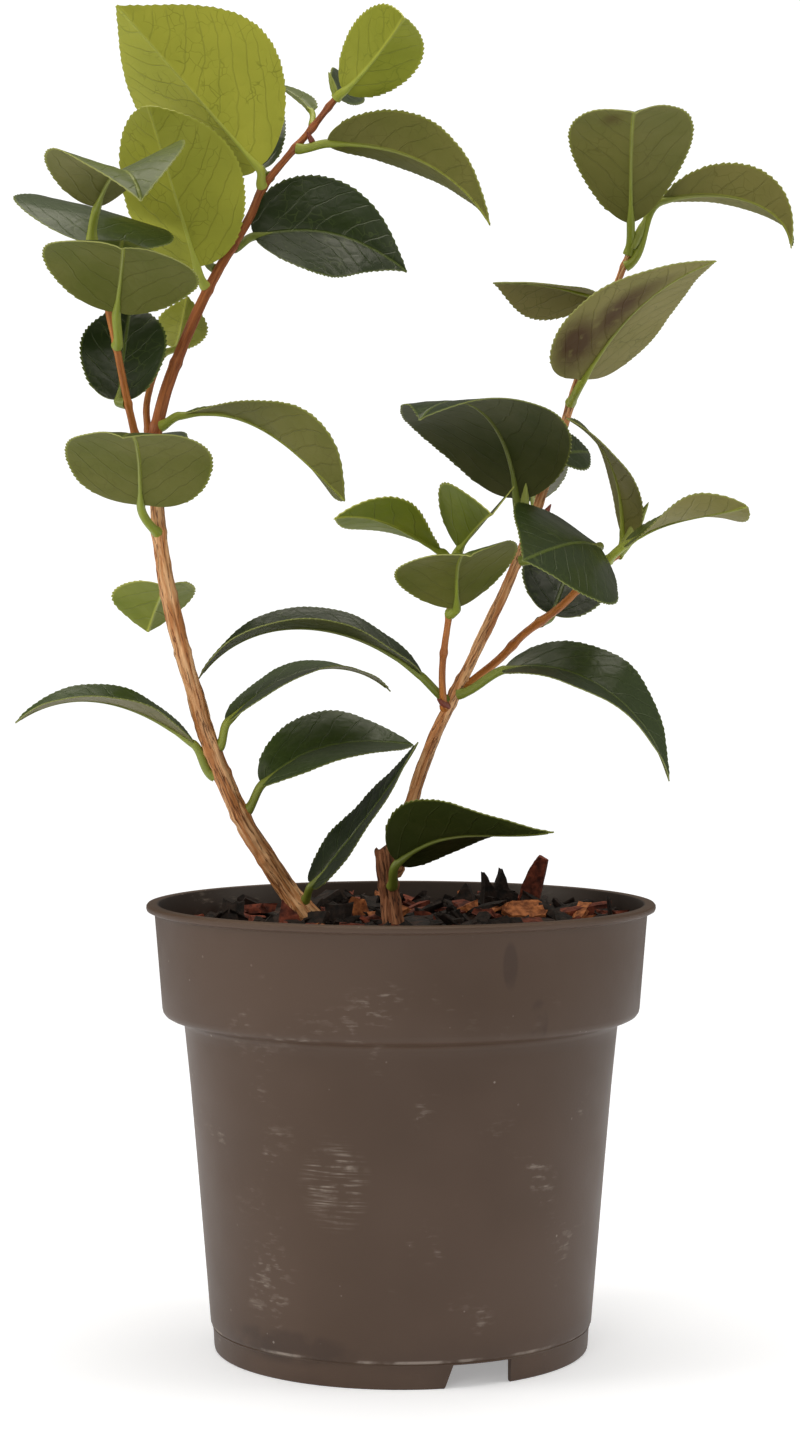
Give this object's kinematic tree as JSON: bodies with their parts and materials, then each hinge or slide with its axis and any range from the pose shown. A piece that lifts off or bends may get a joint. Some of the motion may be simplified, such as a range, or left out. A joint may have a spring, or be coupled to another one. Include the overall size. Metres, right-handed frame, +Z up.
{
  "type": "potted camellia shrub",
  "caption": "Young evergreen shrub with glossy oval leaves on slender forked stems, in a round plastic nursery pot with a deep rim band and bark mulch.",
  "frame": {"origin": "centre of the pot's foot, on the ground", "axes": "+Z up, -Y towards the front, +X to the right seen from the front"},
  "size_m": [0.2296, 0.15, 0.3946],
  "materials": {
    "pot_plastic": "satin, scuffed taupe brown",
    "compost": "crumbly, damp",
    "mulch": "rough loose bark",
    "bark_chip": "rough split bark",
    "old_bark": "flaking, finely cracked",
    "young_bark": "smooth, slightly glossy",
    "dark_leaf": "glossy, leathery",
    "olive_leaf": "matt underside, raised midrib",
    "young_leaf": "soft, slightly glossy"
  },
  "bodies": {
    "root": {"nursery_pot": "pot_plastic", "root_ball": "compost", "bark_mulch": "mulch", "upright_bark_chip": "bark_chip", "pointed_bark_chip": "bark_chip", "flat_bark_chip": "bark_chip", "left_stem": "old_bark", "left_top_bough": "young_bark", "left_front_shoot": "young_bark", "left_back_shoot": "young_bark", "right_stump": "old_bark", "right_stem": "old_bark", "right_low_shoot": "young_bark", "right_side_shoot": "young_bark", "left_stem_leaf_1": "dark_leaf", "left_stem_leaf_2": "dark_leaf", "left_stem_leaf_3": "dark_leaf", "left_stem_leaf_4": "dark_leaf", "left_stem_leaf_5": "young_leaf", "left_stem_leaf_6": "olive_leaf", "left_stem_leaf_7": "dark_leaf", "left_front_shoot_leaf_1": "dark_leaf", "left_front_shoot_leaf_2": "olive_leaf", "left_front_shoot_leaf_3": "dark_leaf", "left_front_shoot_leaf_4": "olive_leaf", "left_back_shoot_leaf_1": "young_leaf", "left_top_bough_leaf_1": "olive_leaf", "left_top_bough_leaf_2": "young_leaf", "left_top_bough_leaf_3": "dark_leaf", "left_top_bough_leaf_4": "dark_leaf", "left_top_bough_leaf_5": "young_leaf", "left_top_bough_leaf_6": "dark_leaf", "left_top_bough_leaf_7": "olive_leaf", "left_top_bough_leaf_8": "olive_leaf", "left_top_bough_leaf_9": "dark_leaf", "left_top_bough_leaf_10": "young_leaf", "right_stump_leaf_1": "dark_leaf", "right_stem_leaf_1": "dark_leaf", "right_stem_leaf_2": "dark_leaf", "right_stem_leaf_3": "olive_leaf", "right_stem_leaf_4": "dark_leaf", "right_stem_leaf_5": "dark_leaf", "right_stem_leaf_6": "dark_leaf", "right_stem_leaf_7": "olive_leaf", "right_stem_leaf_8": "dark_leaf", "right_stem_leaf_9": "olive_leaf", "right_stem_leaf_10": "olive_leaf", "right_stem_leaf_11": "olive_leaf", "right_low_shoot_leaf_1": "olive_leaf", "right_low_shoot_leaf_2": "young_leaf", "right_low_shoot_leaf_3": "young_leaf", "right_side_shoot_leaf_1": "dark_leaf", "right_side_shoot_leaf_2": "olive_leaf", "right_side_shoot_leaf_3": "olive_leaf"}
  },
  "joints": []
}
